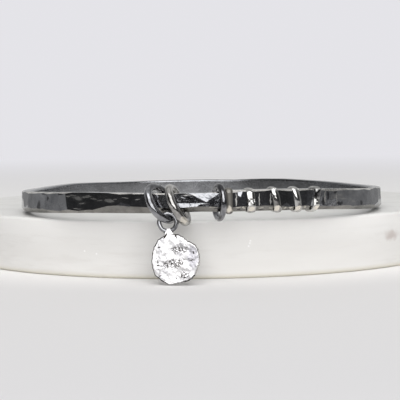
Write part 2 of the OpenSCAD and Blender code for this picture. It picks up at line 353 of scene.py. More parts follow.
band = {
    "outerRadius": 33.5 * mm, "thickness": 1.9 * mm, "height": 3.5 * mm, "gap": 0.05 * mm,
    "lift": 1.8 * mm, "liftPower": 3, "corner": 0.3 * mm, "stations": 240,
    # angle round the band, rise of its lower edge and its height, as shares of the height
    "form": [(-180, 0, 1.07), (-150, 0, 1.05), (-128, 0, 1.12), (-105, 0, 1.02), (-62, 0, 1.04), (-35, 0.03, 0.98),
             (-15, -0.03, 0.94), (0, 0.02, 0.86), (3.5, 0.01, 0.89), (6, 0, 1), (22, 0.05, 1), (39, 0.07, 0.99),
             (62, 0, 1.04), (112, 0, 1), (134, 0, 1.08), (148, 0, 1.14), (158, 0, 1.12), (168, 0, 1.05),
             (180, 0, 1.07)],
    # angle round the band and height of the bevel along its lower edge
    "lowBevel": [(-180, 0.7), (-60, 0.6), (-41, 0.55), (-29, 0.5), (-24, 0.95), (-15, 0.95), (0, 0.9), (20, 0.6),
                 (60, 0.6), (180, 0.7)],
    # the flats all round: ranges of their place, turn and depth in mm, and the middle and spread of their tilt
    "flats": 100, "seed": 5, "along": (-0.3, 0.3), "up": (0.3, 0.7), "turn": (-3, 3), "tilt": (3, 1.2),
    "depth": (0.02, 0.06), "deepest": 0.7,
    # the bevels at both edges: ranges of their size, place, turn and tilt, and the upper one's drop in mm
    "bevelSize": (0.85, 1.15), "bevelAlong": (-1, 1), "bevelTurn": (-4, 4), "lowTilt": (-42, -30),
    "topTilt": (35, 50), "topDrop": (0.2, 0.35),
    # flats that show: angle, height above the lower edge in mm, turn, tilt, depth in mm
    "keyFlats": [(-44.7, 1.7, -4, -0.5, 0.12), (-41.4, 1.7, 3, 4.6, 0.15), (-30.6, 1.7, -1, 4.4, 0.13),
                 (4.9, 1.6, 0, 2, 0.155), (0, 1.6, 0, 9.5, 0.1), (69, 1.7, 0, 5, 0.15), (75, 1.7, 0, 4, 0.14),
                 (83, 1.7, -1, 3.2, 0.12)],
    # taller bevels along the lower edge: angle, height and tilt
    "keyBevels": [(-24.5, 1.3, -25), (-18, 1.2, -25)],
    # hammer blows: angle, height above the lower edge, turn, tilt, depth, width and height in mm, slant of the walls
    "blows": [(-2.6, 3.1, -1.2, 2, 0.27, 6.0, 3.3, 8), (10.6, 2.75, 3, 11, 0.1, 0.45, 0.9, 25),
              (0.6, 0.55, 0, 1, 0.12, 1.9, 1.4, 12)],
    # dark spots: angle, height above the lower edge, half length and half height in mm
    "spots": [(-58, 1.3, 0.7, 1.0), (-54.5, 3.2, 1.0, 0.18), (-46, 3.2, 0.9, 0.28), (-52.5, 2.5, 0.4, 0.5),
              (44.1, 1.0, 1.0, 0.45), (55.8, 1.1, 0.5, 0.45), (39.4, 2.4, 0.28, 0.9), (42.5, 3.0, 0.5, 0.25),
              (37.7, 1.3, 0.4, 0.7)],
    # rubbed streaks and painted sheen: angle, height above the lower edge, half length and half height in mm
    "rubsAndSheen": [(38.3, 2.3, 0.2, 1.2), (43, 1.6, 0.15, 1.3)],
    # the same, smeared along the band
    "smears": [(-42.5, 2.8, 0.9, 0.2), (-40.6, 2.95, 1.3, 0.15), (-38.8, 2.6, 1.8, 0.55), (-35, 2.7, 1.9, 0.32),
               (-37, 1.7, 1.3, 0.22), (-32.3, 2.35, 1.1, 0.24), (-30.3, 2.1, 0.9, 0.17), (-27.2, 2.05, 1.4, 0.5),
               (-25.3, 2.3, 0.7, 0.15), (-22, 2.5, 1.1, 0.12), (-18.2, 2.3, 0.7, 0.16), (-38.5, 0.75, 1.7, 0.14)],
    # the same, straight: a painted highlight along the top edge, and painted reflections with solder beside the wires
    "sheenAndSolderLines": [(-3.4, 2.78, 1.4, 0.1), (16.3, 1.9, 0.12, 1.3), (19.7, 1.9, 0.14, 1.2), (9.7, 1.9, 0.13, 1.4)],
    # painted reflections as pale flecks, and dark patches, on the bevel along the lower edge: angle, height, half
    # length and half height in mm
    "sheenFlecks": [(3.2, 0.68, 0.7, 0.09), (10.2, 0.62, 0.35, 0.11), (11.9, 0.66, 0.35, 0.1), (17.0, 0.62, 0.5, 0.08),
               (19.6, 0.45, 0.4, 0.13), (24.3, 0.35, 0.35, 0.1), (26.2, 0.42, 0.4, 0.14), (31.0, 0.32, 0.28, 0.2)],
    "darkPatches": [(4.6, 0.4, 0.6, 0.14), (10.8, 0.2, 0.9, 0.18), (17.0, 0.25, 0.8, 0.16), (25.2, 0.15, 0.6, 0.1),
               (30.3, 0.7, 0.6, 0.2)],
    # where streaks, scratches and wrinkles show: angle, height above the lower edge, half length and half height in mm
    "streaky": [(-31, 2.5, 8.5, 0.9), (47, 1.8, 6, 1.5)],
    "scratched": [(-0.5, 1.9, 5, 2.2)],
    "worked": [(0, 1.7, 5.5, 1.9), (39.5, 1.8, 2.5, 1.8)],
    "finish": ((0.335, 0.34, 0.355), (0.235, 0.24, 0.255), 0.07, 0.16), "rubbedAndSheen": (0.50, 0.49, 0.47),
    "lowFinish": ((0.25, 0.245, 0.23), (0.16, 0.155, 0.145), 0.12, 0.28), "lowRubbedAndSheen": (0.58, 0.56, 0.50),
    # slopes that count as the top edge and as the lower bevel, and the depth from which the inside begins
    "topSlope": (0.4, 0.85), "lowSlope": (-0.85, -0.35), "insideFrom": 0.85,
}


def lowerEdge(angle):
    spring = ((1 + math.cos(math.radians(angle))) / 2) ** band["liftPower"]
    return standTop + band["gap"] + band["lift"] * spring + table(band["form"], angle, 1) * band["height"]


def bandHeight(angle):
    return table(band["form"], angle, 2) * band["height"]


def outwards(angle, tilt=0.0):
    flat, up = math.radians(angle), math.radians(tilt)
    return Vector((math.sin(flat) * math.cos(up), -math.cos(flat) * math.cos(up), math.sin(up)))


def onBand(angle, up, out=0.0):
    spot = bangleCentre + outwards(angle) * (band["outerRadius"] + out)
    spot.z = lowerEdge(angle) + up * mm
    return spot


startFresh()
bpy.ops.mesh.primitive_plane_add(size=1, rotation=(math.pi / 2, 0, math.pi / 2))
hammeredBand = bpy.context.object
hammeredBand.scale = (band["thickness"], band["height"], 1)
middle = band["outerRadius"] - band["thickness"] / 2
hammeredBand.location = (0, bangleCentre.y - middle, band["height"] / 2)
settle(hammeredBand, "hammeredBand")
editPiece(hammeredBand)
takeAll()
bpy.ops.mesh.bevel(offset=band["corner"], offset_type="OFFSET", segments=2, affect="VERTICES", profile=0.5)
bpy.ops.mesh.delete(type="ONLY_FACE")
takeAll()
bpy.ops.mesh.spin(steps=band["stations"], angle=2 * math.pi, center=bangleCentre, axis=(0, 0, 1))
closeSkin()
halfStep = 180 / band["stations"]
for station in range(band["stations"]):
    angle = -180 + 2 * halfStep * station
    pick(lambda vert: apart(angleOf(vert.co), angle) < halfStep / 2)
    bpy.ops.transform.resize(value=(1, 1, bandHeight(angle) / band["height"]), center_override=(0, 0, 0))
    bpy.ops.transform.translate(value=(0, 0, lowerEdge(angle)))


def cutFlat(angle, height, turn, tilt, depth=0.0, reach=15):
    point = onBand(angle, 0, -depth)
    point.z = height
    deepest = band["outerRadius"] - band["deepest"] * band["thickness"]
    pick(lambda face: apart(angleOf(face.calc_center_median()), angle) < reach
         and (face.calc_center_median() - bangleCentre).xy.length > deepest, "faces")
    bpy.ops.mesh.bisect(plane_co=point, plane_no=outwards(angle + turn, tilt), use_fill=True, clear_outer=True,
                        threshold=cutWithin)


chance = random.Random(band["seed"])
for step in range(band["flats"]):
    angle = -180 + 360 * (step + chance.uniform(*band["along"])) / band["flats"]
    low, high = lowerEdge(angle), lowerEdge(angle) + bandHeight(angle)
    cutFlat(angle, low + (high - low) * chance.uniform(*band["up"]), chance.uniform(*band["turn"]),
            chance.gauss(*band["tilt"]), chance.uniform(*band["depth"]) * mm)
    bevel = table(band["lowBevel"], angle, 1) * mm * chance.uniform(*band["bevelSize"])
    cutFlat(angle + chance.uniform(*band["bevelAlong"]), low + bevel, chance.uniform(*band["bevelTurn"]),
            chance.uniform(*band["lowTilt"]), reach=30)
    cutFlat(angle + chance.uniform(*band["bevelAlong"]), high - chance.uniform(*band["topDrop"]) * mm,
            chance.uniform(*band["bevelTurn"]), chance.uniform(*band["topTilt"]), reach=20)
for angle, up, turn, tilt, depth in band["keyFlats"]:
    cutFlat(angle, lowerEdge(angle) + up * mm, turn, tilt, depth * mm, reach=20)
for angle, up, tilt in band["keyBevels"]:
    cutFlat(angle, lowerEdge(angle) + up * mm, 0, tilt, reach=30)
leaveEdit()


def hammerBlow(angle, up, turn, tilt, depth, wide, tall, slant):
    startFresh()
    bpy.ops.mesh.primitive_cube_add(size=1)
    tool = bpy.context.object
    editPiece(tool)
    takeAll()
    bpy.ops.transform.resize(value=(wide * mm, 1 * mm, tall * mm))
    bpy.ops.transform.translate(value=(0, -0.5 * mm, 0))
    pick(lambda vert: vert.co.y < -0.5 * mm)
    spread = 2 * mm / math.tan(math.radians(slant))
    bpy.ops.transform.resize(value=(1 + spread / (wide * mm), 1, 1 + spread / (tall * mm)), center_override=(0, 0, 0))
    leaveEdit()
    tool.matrix_world = (Matrix.Translation(onBand(angle, up, -depth * mm))
                         @ Matrix.Rotation(math.radians(angle + turn), 4, "Z")
                         @ Matrix.Rotation(math.radians(-tilt), 4, "X"))
    applyModifier(hammeredBand, "BOOLEAN", operation="DIFFERENCE", solver="EXACT", object=tool)
    bpy.data.objects.remove(tool)


for blow in band["blows"]:
    hammerBlow(*blow)


def onBandPatches(kind):
    return [(onBand(angle, up), (long * mm, mm, tall * mm), (0, 0, math.radians(angle)))
            for angle, up, long, tall in band[kind]]


marks = {kind: onBandPatches(kind) for kind in ("rubsAndSheen", "sheenAndSolderLines", "smears", "streaky", "spots", "worked", "scratched")}
bandSilver = silverMaterial("bandSilver", *band["finish"], rubbedAndSheen=band["rubbedAndSheen"], **marks)
lowSilver = silverMaterial("lowSilver", *band["lowFinish"], rubbedAndSheen=band["lowRubbedAndSheen"], rubsAndSheen=onBandPatches("sheenFlecks"),
                           spots=onBandPatches("darkPatches"), streaky=[(bangleCentre, (36 * mm, 36 * mm, 9 * mm))])
for finish in (bandSilver, insideSilver, edgeSilver, lowSilver):
    hammeredBand.data.materials.append(finish)
for polygon in hammeredBand.data.polygons:
    out, slope = (polygon.center - bangleCentre).xy, polygon.normal.z
    if out.length < band["outerRadius"] - band["insideFrom"] * band["thickness"]:
        polygon.material_index = 1
    elif polygon.normal.xy.dot(out) > 0 and band["topSlope"][0] < slope < band["topSlope"][1]:
        polygon.material_index = 2
    elif polygon.normal.xy.dot(out) > 0 and band["lowSlope"][0] < slope < band["lowSlope"][1]:
        polygon.material_index = 3
print("band ready:", len(hammeredBand.data.polygons), "faces")


def workIn(piece, name, grain, size, depth, group=""):  # uneven surface from a procedural texture
    texture = bpy.data.textures.new(name, grain)
    texture.noise_scale = size
    applyModifier(piece, "DISPLACE", texture=texture, texture_coords="LOCAL", strength=depth, mid_level=0.5,
                  vertex_group=group)


rings = {
    "names": {"loose_ring_left": "looseRingLeft", "loose_ring_middle": "looseRingMiddle",
              "loose_ring_right": "looseRingRight"},
    "unevenSize": 1.4 * mm, "uneven": 0.09 * mm,
    "finish": {"loose_ring_middle": paleRingSilver, "loose_ring_right": darkRingSilver},
}


def mergedCopy(node, name):
    only(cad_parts[node])
    bpy.ops.object.duplicate()
    piece = bpy.context.object
    piece.parent = None
    for key in list(piece.keys()):
        del piece[key]
    piece.data.materials.clear()
    editPiece(piece)
    takeAll()
    bpy.ops.mesh.remove_doubles(threshold=mergeWithin)
    leaveEdit()
    piece.name = piece.data.name = name
    return piece


pieces = {"bangle_band": hammeredBand}
for node, name in rings["names"].items():
    ring = mergedCopy(node, name)
    workIn(ring, name + "Grain", "CLOUDS", rings["unevenSize"], rings["uneven"])
    only(ring)
    bpy.ops.object.shade_smooth()
    ring.data.materials.append(rings["finish"].get(node, ringSilver))
    pieces[node] = ring
print("rings ready")

wraps = {
    "clear": 0.03 * mm, "round": 0.55 * mm, "sides": 24, "steps": 32, "rows": 9, "bow": 5.0 * mm,
    "flatInside": 0.3, "outside": 0.98, "grain": (0.7 * mm, 0.05 * mm), "smooth": 35,
    # the slanted cut at the lower end: its height, how far out it begins as a share of the wire, and its slant
    "footTop": 0.55 * mm, "footOut": 0.55, "footCut": -38,
    "foot": (0.35, 0.7, 0.8), "rubbedAndSheen": (0.88, 0.83, 0.74),  # the pale foot's height, half width and half depth in mm; the pale foot is a painted reflection of the stand with some worn solder
    "bright": ((0.58, 0.575, 0.56), (0.26, 0.255, 0.245), 0.08, 0.18),
    "dull": ((0.24, 0.23, 0.21), (0.13, 0.125, 0.115), 0.4, 0.55), "dullOnes": ("wireWrap1",),
    # height on the wire and how much further it stands out there, in mm
    "thicker": {"wireWrap2": [(-9, 0.34), (-1.4, 0.34), (0, 0.16), (9, 0.16)],
                "wireWrap5": [(-9, 0.3), (-1.25, 0.3), (0, 0), (1.6, 0.16), (9, 0.16)]},
    "paintedShade": {"wireWrap5": (2.75, 0.95, 1.2)},  # painted shade on the wire's top: height above the band's lower edge, half height, half width
    # angle round the band, lean of the top to the left, width of the wire and how far it stands out, height where
    # its bow starts and half height of its pale foot, in mm
    "places": {"wrap_1": (7.7, 0, 1.2, 0.38, 1.35, 0.9), "wrap_2": (13.9, 3, 1.46, 0.27, -0.3, 0.5),
               "wrap_3": (21.5, 10, 1.38, 0.38, -0.2, 0.5), "wrap_4": (28.2, 8, 1.34, 0.38, -0.2, 0.5),
               "wrap_5": (34.7, -11, 1.3, 0.38, 1.5, 0.4)},
}
def wireWrap(name, angle, lean, wide, proud, bowFrom, worn):
    proud *= mm
    halfWide = band["thickness"] / 2 + wraps["clear"] - wraps["round"]
    halfTall = bandHeight(angle) / 2 + wraps["clear"] - wraps["round"]
    startFresh()
    bpy.ops.mesh.primitive_circle_add(vertices=wraps["sides"], radius=1, fill_type="NGON")
    wire = bpy.context.object
    editPiece(wire)
    takeAll()
    bpy.ops.transform.resize(value=(proud, wide * mm / 2, 1))
    pick(lambda vert: vert.co.x < 0)
    bpy.ops.transform.resize(value=(wraps["flatInside"], 1, 1), center_override=(0, 0, 0))
    takeAll()
    bpy.ops.mesh.delete(type="ONLY_FACE")
    takeAll()
    bpy.ops.transform.translate(value=(wraps["round"], 0, 0))
    bpy.ops.mesh.spin(steps=wraps["steps"], angle=2 * math.pi, center=(0, 0, 0), axis=(0, 1, 0))
    closeSkin()
    small = 0.001 * mm
    for side in (-1, 1):
        pick(lambda vert: side * vert.co.x > small)
        bpy.ops.transform.translate(value=(side * halfWide, 0, 0))
        pick(lambda vert: side * vert.co.z > small)
        bpy.ops.transform.translate(value=(0, 0, side * halfTall))
    pick(lambda edge: abs(edge.verts[0].co.z - edge.verts[1].co.z) > 0.5 * halfTall, "edges")
    bpy.ops.mesh.subdivide(number_cuts=wraps["rows"])
    leaveEdit()
    levels = sorted({round(vert.co.z, 6) for vert in wire.data.vertices})
    slope = math.tan(math.radians(lean))
    sameLevel = 0.6e-6
    editPiece(wire)
    for level in levels:
        pick(lambda vert: abs(vert.co.z - level) < sameLevel)
        bpy.ops.transform.translate(value=(0, -slope * level, 0))
        back = max(0, level - bowFrom * mm) ** 2 / (2 * wraps["bow"])
        pick(lambda vert: abs(vert.co.z - level) < sameLevel and vert.co.x > 0)
        bpy.ops.transform.translate(value=(-back, 0, 0))
        if name in wraps["thicker"]:
            outer = halfWide + wraps["outside"] * wraps["round"]
            pick(lambda vert: abs(vert.co.z - level) < sameLevel and vert.co.x > outer - back)
            bpy.ops.transform.translate(value=(table(wraps["thicker"][name], level / mm, 1) * mm, 0, 0))
    end = (halfWide + wraps["round"] + wraps["footOut"] * proud, 0, wraps["footTop"] - halfTall - wraps["round"])
    tilt = math.radians(wraps["footCut"])
    pick(lambda face: face.calc_center_median().x > 0 and face.calc_center_median().z < 0, "faces")
    bpy.ops.mesh.bisect(plane_co=end, plane_no=(math.cos(tilt), 0, math.sin(tilt)), use_fill=True, clear_outer=True,
                        threshold=cutWithin)
    leaveEdit()
    wire.location = onBand(angle, 0, -band["thickness"] / 2)
    wire.location.z = lowerEdge(angle) + bandHeight(angle) / 2
    wire.rotation_euler = (0, 0, math.radians(angle - 90))
    settle(wire, name)
    workIn(wire, name + "Grain", "CLOUDS", *wraps["grain"])
    only(wire)
    bpy.ops.object.shade_smooth_by_angle(angle=math.radians(wraps["smooth"]))
    high, wideSpot, deepSpot = wraps["foot"]
    foot = onBand(angle, high, 0.1 * mm)
    spots = []
    # painted shade dulls the top of the fifth wire
    if name in wraps["paintedShade"]:
        up, tall, across = wraps["paintedShade"][name]
        spots.append((foot + Vector((0, 0, (up - high) * mm)), (across * mm, across * mm, tall * mm)))
    finish = wraps["dull"] if name in wraps["dullOnes"] else wraps["bright"]
    wire.data.materials.append(silverMaterial(name + "Silver", *finish, rubbedAndSheen=wraps["rubbedAndSheen"], spots=spots,
                                              rubsAndSheen=[(foot, (wideSpot * mm, deepSpot * mm, worn * mm))]))
    return wire


for node, place in wraps["places"].items():
    pieces[node] = wireWrap("wireWrap" + node[-1], *place)
print("wraps ready")

charm = {
    # from the bangle's centre to the point where it hangs in the left ring, and how it hangs
    "hangPoint": Vector((-5.493, -33.174, 0.690)) * mm, "tilt": 8, "turn": 10, "drop": 0.43 * mm,
    "ringRadius": 1.425 * mm, "ringWire": 0.74 * mm,
    "discAside": 1.443 * mm, "discDrop": 6.05 * mm, "thickness": 0.9 * mm, "radius": 3.9 * mm, "points": 96,
    # angle from the disc's right side and share of its radius
    "outline": [(-9, 1.00), (6, 1.01), (23, 1.03), (38, 1.02), (50, 0.97), (61, 0.92), (74, 1.00), (84, 1.06),
                (91, 1.07), (114, 1.12), (122, 1.11), (136, 1.11), (146, 1.07), (163, 1.03), (176, 1.01),
                (194, 1.02), (207, 1.05), (217, 1.08), (228, 1.04), (241, 1.06), (250, 1.04), (258, 0.97), (269, 0.88),
                (283, 0.96), (299, 1.01), (313, 1.03), (324, 1.04), (337, 0.99), (351, 1.00)],
    "lumps": (1.3 * mm, 0.12 * mm), "grain": (0.32 * mm, 0.012 * mm), "bevel": 0.17 * mm, "backBevel": 0.22 * mm,
    "ragged": 0.011, "seed": 3, "smooth": 50,
    "ringGrain": (0.9 * mm, 0.06 * mm), "ringFaces": (64, 20),
    # the tongue's width, depth and top in mm, and its sections downwards: step, move to the right, move to the front,
    # widening, deepening
    "tongueTop": (0.75, 0.8, 4.95),
    "tongue": [(0.3, 0.06, -0.02, 1.45, 1.0), (0.45, 0.08, -0.03, 1.5, 1.0), (0.7, 0.04, -0.03, 1.35, 0.95),
               (0.6, 0.0, 0.04, 1.1, 0.8)],
    "tongueStart": 0.2 * mm, "tongueBevel": 0.1 * mm, "tongueAside": (0.15 * mm, 0.02 * mm),
    "tongueGrain": (0.6 * mm, 0.06 * mm),
    # dark hollows of the cast face, in mm from the disc's middle: right, up, half length, half height, slope
    "hollows": [(0.62, 1.64, 1.7, 0.72, 4), (-0.28, -0.67, 2.7, 0.95, 16), (1.7, -2.5, 1.1, 0.6, 10)],
    # the grooves beside the tongue, painted dark as shade where the tongue meets the disc, and single nicks; and
    # painted shade on the right
    "grooves": [(-1.75, 3.82, 0.75, 0.15, 58), (-0.05, 3.95, 0.7, 0.14, -68), (-2.75, 1.95, 0.32, 0.11, 10),
                (2.75, -0.03, 0.5, 0.09, 6), (-2.85, -0.95, 0.36, 0.11, 12), (-2.9, -0.35, 0.12, 0.2, 0),
                (-2.4, -2.6, 0.3, 0.1, 30), (0.15, -2.95, 0.22, 0.12, -20), (1.45, -1.95, 0.3, 0.1, -35),
                (2.05, -2.65, 0.3, 0.1, 35), (2.9, 1.2, 0.1, 0.3, 0)],
    "dull": (2.9, 0.5, 1.1, 2.3, 0), "paintedShadeShare": 0.65, "paintedShadeColour": (0.40, 0.39, 0.44),
    "squiggles": {"Scale": 2.9, "Detail": 1.0, "Roughness": 0.5, "Distortion": 0.5}, "squigglesFrom": (0.04, 0.085),
    "edgeWobble": (2.5, 0.35), "oxide": (0.03, 0.024, 0.02),
    "face": ((0.93, 0.915, 0.92), (0.80, 0.79, 0.81), 0.25, 0.38),
    "back": ((0.62, 0.61, 0.60), (0.36, 0.355, 0.35), 0.2, 0.35),
    # the rim's near-black finish is painted shade
    "edge": ((0.07, 0.063, 0.058), (0.035, 0.032, 0.03), 0.3, 0.45), "bump": 0.05 * mm,
    "sideSlope": 0.95, "paintedLightSide": (0.25, -0.5),  # normals that count as the face, and those of the rim's right side, which is painted lighter where light falls
}


def sizedOutline():
    uneven = random.Random(charm["seed"])
    last = charm["outline"][-1][0]
    for number in range(charm["points"]):
        angle = 360 * number / charm["points"]
        share = table(charm["outline"], angle if angle <= last else angle - 360, 1)
        share *= 1 + uneven.uniform(-charm["ragged"], charm["ragged"])
        pick(lambda vert: apart(math.degrees(math.atan2(vert.co.z, vert.co.x)), angle) < 0.5)
        bpy.ops.transform.resize(value=(share, 1, share), center_override=(0, 0, 0))


hung = (Matrix.Translation(bangleCentre + charm["hangPoint"]) @ Matrix.Rotation(-math.radians(charm["turn"]), 4, "Z")
        @ Matrix.Rotation(-math.radians(charm["tilt"]), 4, "X")
        @ Matrix.Translation((charm["discAside"], 0, -charm["drop"] - charm["discDrop"])))


def charmMaterial():
    material = silverMaterial("charmSilver", *charm["face"], dents=1.0, bump=charm["bump"])
    tree = material.node_tree
    socket = tree.nodes["Principled BSDF"].inputs["Base Color"]
    place = addNode(tree, "ShaderNodeTexCoord").outputs["Object"]
    local = addNode(tree, "ShaderNodeMapping", "the disc's own frame, in mm", vector_type="TEXTURE", Vector=place,
                    Location=hung.translation, Rotation=hung.to_euler(), Scale=(mm, mm, mm)).outputs[0]
    ragged = wobble(tree, local, *charm["edgeWobble"])

    def marked(rows):
        return patches(tree, ragged, [((right, 0, up), (long, 9, tall), (0, -math.radians(slope), 0))
                                      for right, up, long, tall, slope in rows])

    squiggles = away01(tree, noise(tree, local, "cast squiggles", **charm["squiggles"]))
    squiggles = mapRange(tree, squiggles, *charm["squigglesFrom"], 1, 0)
    hollows = calc(tree, "MULTIPLY", squiggles, marked(charm["hollows"]))
    # the grooves beside the tongue are painted shade; the hollows and nicks hold oxide
    darkened = joinMasks(tree, [hollows, marked(charm["grooves"])])
    # painted shade on the disc's right side
    dull = scaled(tree, marked([charm["dull"]]), charm["paintedShadeShare"])
    colour = mixColour(tree, dull, socket.links[0].from_socket, charm["paintedShadeColour"], "painted shade patch")
    colour = mixColour(tree, darkened, colour, charm["oxide"], "oxide in the hollows")
    tree.links.new(colour, socket)
    return material


charmSilver = charmMaterial()
charmBack = silverMaterial("charmBack", *charm["back"], dents=1.0, bump=charm["bump"])
charmShadedEdge = silverMaterial("charmShadedEdge", *charm["edge"])

startFresh()
bpy.ops.mesh.primitive_circle_add(vertices=charm["points"], radius=charm["radius"], fill_type="NGON",
                                  rotation=(math.pi / 2, 0, 0))
castCharm = bpy.context.object
settle(castCharm, "castCharm")
for finish in (charmSilver, charmShadedEdge, charmBack):
    castCharm.data.materials.append(finish)
editPiece(castCharm)
sizedOutline()
takeAll()
bpy.ops.mesh.extrude_region_move(TRANSFORM_OT_translate={"value": (0, -charm["thickness"], 0)})
takeAll()
half = charm["thickness"] / 2
nearSide = half * 0.9
bpy.ops.transform.translate(value=(0, half, 0))
bpy.ops.mesh.normals_make_consistent(inside=False)
pick(lambda edge: all(vert.co.y > nearSide for vert in edge.verts), "edges")
bpy.ops.mesh.bevel(offset=charm["backBevel"], segments=3, affect="EDGES")
pick(lambda edge: all(vert.co.y < -nearSide for vert in edge.verts), "edges")
bpy.ops.mesh.bevel(offset=charm["bevel"], segments=2, affect="EDGES")
leaveEdit()
# the rim is painted dark as shade, and its right side painted lighter where light falls
for polygon in castCharm.data.polygons:
    pale = polygon.normal.x > charm["paintedLightSide"][0] and polygon.normal.z > charm["paintedLightSide"][1]
    polygon.material_index = 0 if polygon.normal.y < -charm["sideSlope"] else 2 if pale else 1
editPiece(castCharm)
for side in (-1, 1):
    pick(lambda face: side * face.normal.y > charm["sideSlope"] and face.calc_area() > 20 * mm * mm, "faces")
    bpy.ops.mesh.delete(type="ONLY_FACE")
    pick(lambda edge: edge.is_boundary and all(side * vert.co.y > nearSide for vert in edge.verts), "edges")
    bpy.ops.mesh.fill_grid(span=charm["points"] // 4, offset=0)
    castCharm.active_material_index = 0 if side < 0 else 2
    bpy.ops.object.material_slot_assign()
    bpy.ops.mesh.subdivide(number_cuts=3 if side < 0 else 1)
leaveEdit()
face = castCharm.vertex_groups.new(name="face")
face.add([vert.index for vert in castCharm.data.vertices if abs(vert.co.y) > half * 0.95], 1.0, "REPLACE")
workIn(castCharm, "castLumps", "CLOUDS", *charm["lumps"], "face")
workIn(castCharm, "castGrain", "CLOUDS", *charm["grain"], "face")
print("charm disc ready:", len(castCharm.data.polygons), "faces")

startFresh()
wide, deep, top = charm["tongueTop"]
bpy.ops.mesh.primitive_cube_add(size=1)
tongue = bpy.context.object
tongue.scale = (wide * mm, deep * mm, charm["tongueStart"])
settle(tongue, "charmTongue")
editPiece(tongue)
for down, aside, forwards, widening, deepening in charm["tongue"]:
    low = min(vert.co.z for vert in bmesh.from_edit_mesh(tongue.data).verts)
    pick(lambda face: face.normal.z < -0.9 and face.calc_center_median().z < low + 0.01 * mm, "faces")
    bpy.ops.mesh.extrude_region_move(TRANSFORM_OT_translate={"value": (aside * mm, forwards * mm, -down * mm)})
    bpy.ops.transform.resize(value=(widening, deepening, 1))
pick(lambda edge: len(edge.link_faces) == 2 and edge.calc_face_angle() > math.radians(charm["smooth"]), "edges")
bpy.ops.mesh.bevel(offset=charm["tongueBevel"], segments=2, affect="EDGES")
leaveEdit()
applyModifier(tongue, "SUBSURF", levels=2, render_levels=2)
aside, back = charm["tongueAside"]
tongue.location = (-charm["discAside"] + aside, back, top * mm)
settle(tongue, "charmTongue")
workIn(tongue, "tongueGrain", "CLOUDS", *charm["tongueGrain"])

startFresh()
along, around = charm["ringFaces"]
bpy.ops.mesh.primitive_torus_add(major_radius=charm["ringRadius"], minor_radius=charm["ringWire"] / 2,
                                 major_segments=along, minor_segments=around, rotation=(math.pi / 2, 0, 0),
                                 location=(-charm["discAside"], 0, charm["discDrop"]))
charmRing = bpy.context.object
settle(charmRing, "charmRing")
workIn(charmRing, "charmRingGrain", "CLOUDS", *charm["ringGrain"])

tongue.data.materials.append(charmSilver)
charmRing.data.materials.append(darkRingSilver)
only(castCharm)
for part in (tongue, charmRing):
    part.select_set(True)
bpy.ops.object.join()
only(castCharm)
bpy.ops.object.shade_smooth_by_angle(angle=math.radians(charm["smooth"]))
castCharm.matrix_world = hung
settle(castCharm, "castCharm")
pieces["charm"] = castCharm
print("charm ready")

marble = {
    "light": (0.855, 0.845, 0.825), "grey": (0.775, 0.76, 0.735), "roughness": (0.26, 0.4), "footHeight": 1.1 * mm,
    # the other colours and how much of each shows
    "layers": {"crystals": ((0.99, 0.98, 0.97), 0.9), "brown stain": ((0.52, 0.45, 0.42), 0.75),
               "painted light above": ((0.94, 0.93, 0.91), 0.75), "upper side": ((0.76, 0.755, 0.73), 0.6),
               "veins": ((0.62, 0.61, 0.58), 0.25), "darker towards the foot": ((0.66, 0.63, 0.53), 0.8)},
    # each noise by its sockets, and the range of it that shows
    "clouds": {"Scale": 120.0, "Detail": 5.0, "Roughness": 0.55}, "cloudsFrom": (0.35, 0.7), "cloudShare": 0.7,
    "beds": {"Scale": 520.0, "Detail": 4.0, "Roughness": 0.6, "Distortion": 0.3}, "bedsFrom": (0.42, 0.72),
    "bedShare": 0.9,
    "grain": {"Scale": 1500.0, "Detail": 2.0}, "grainHeight": 0.01 * mm, "flatten": (0.25, 0.25, 1.6),
    "veins": {"Scale": 34.0, "Detail": 6.0, "Roughness": 0.6, "Distortion": 1.4}, "veinsFrom": (0.005, 0.045),
    "crystalScale": 420.0, "crystalsFrom": (0.03, 0.11), "rareFrom": (0.60, 0.64),
    # painted light on the upper part of the side wall, against the band's shadow: heights where it begins and is full
    "paintedLightFrom": (5.5 * mm, 9.5 * mm), "topFrom": (9.5 * mm, 9.75 * mm),
    # single glints in mm, and a stain with its ragged edge
    "specks": [(-20.0, -43.6, 4.5), (-17.9, -44.5, 4.1), (7.8, -47.4, 5.4), (8.1, -47.3, 6.3), (8.0, -47.3, 5.9)],
    "speckHalf": 0.2 * mm, "stainAt": Vector((33.7, -34.2, 5.8)) * mm, "stainHalves": (2.4 * mm, 2.4 * mm, 1.25 * mm),
    "stainEdge": (0.2, 1.1), "stainWobble": (700.0, 0.0016),
}


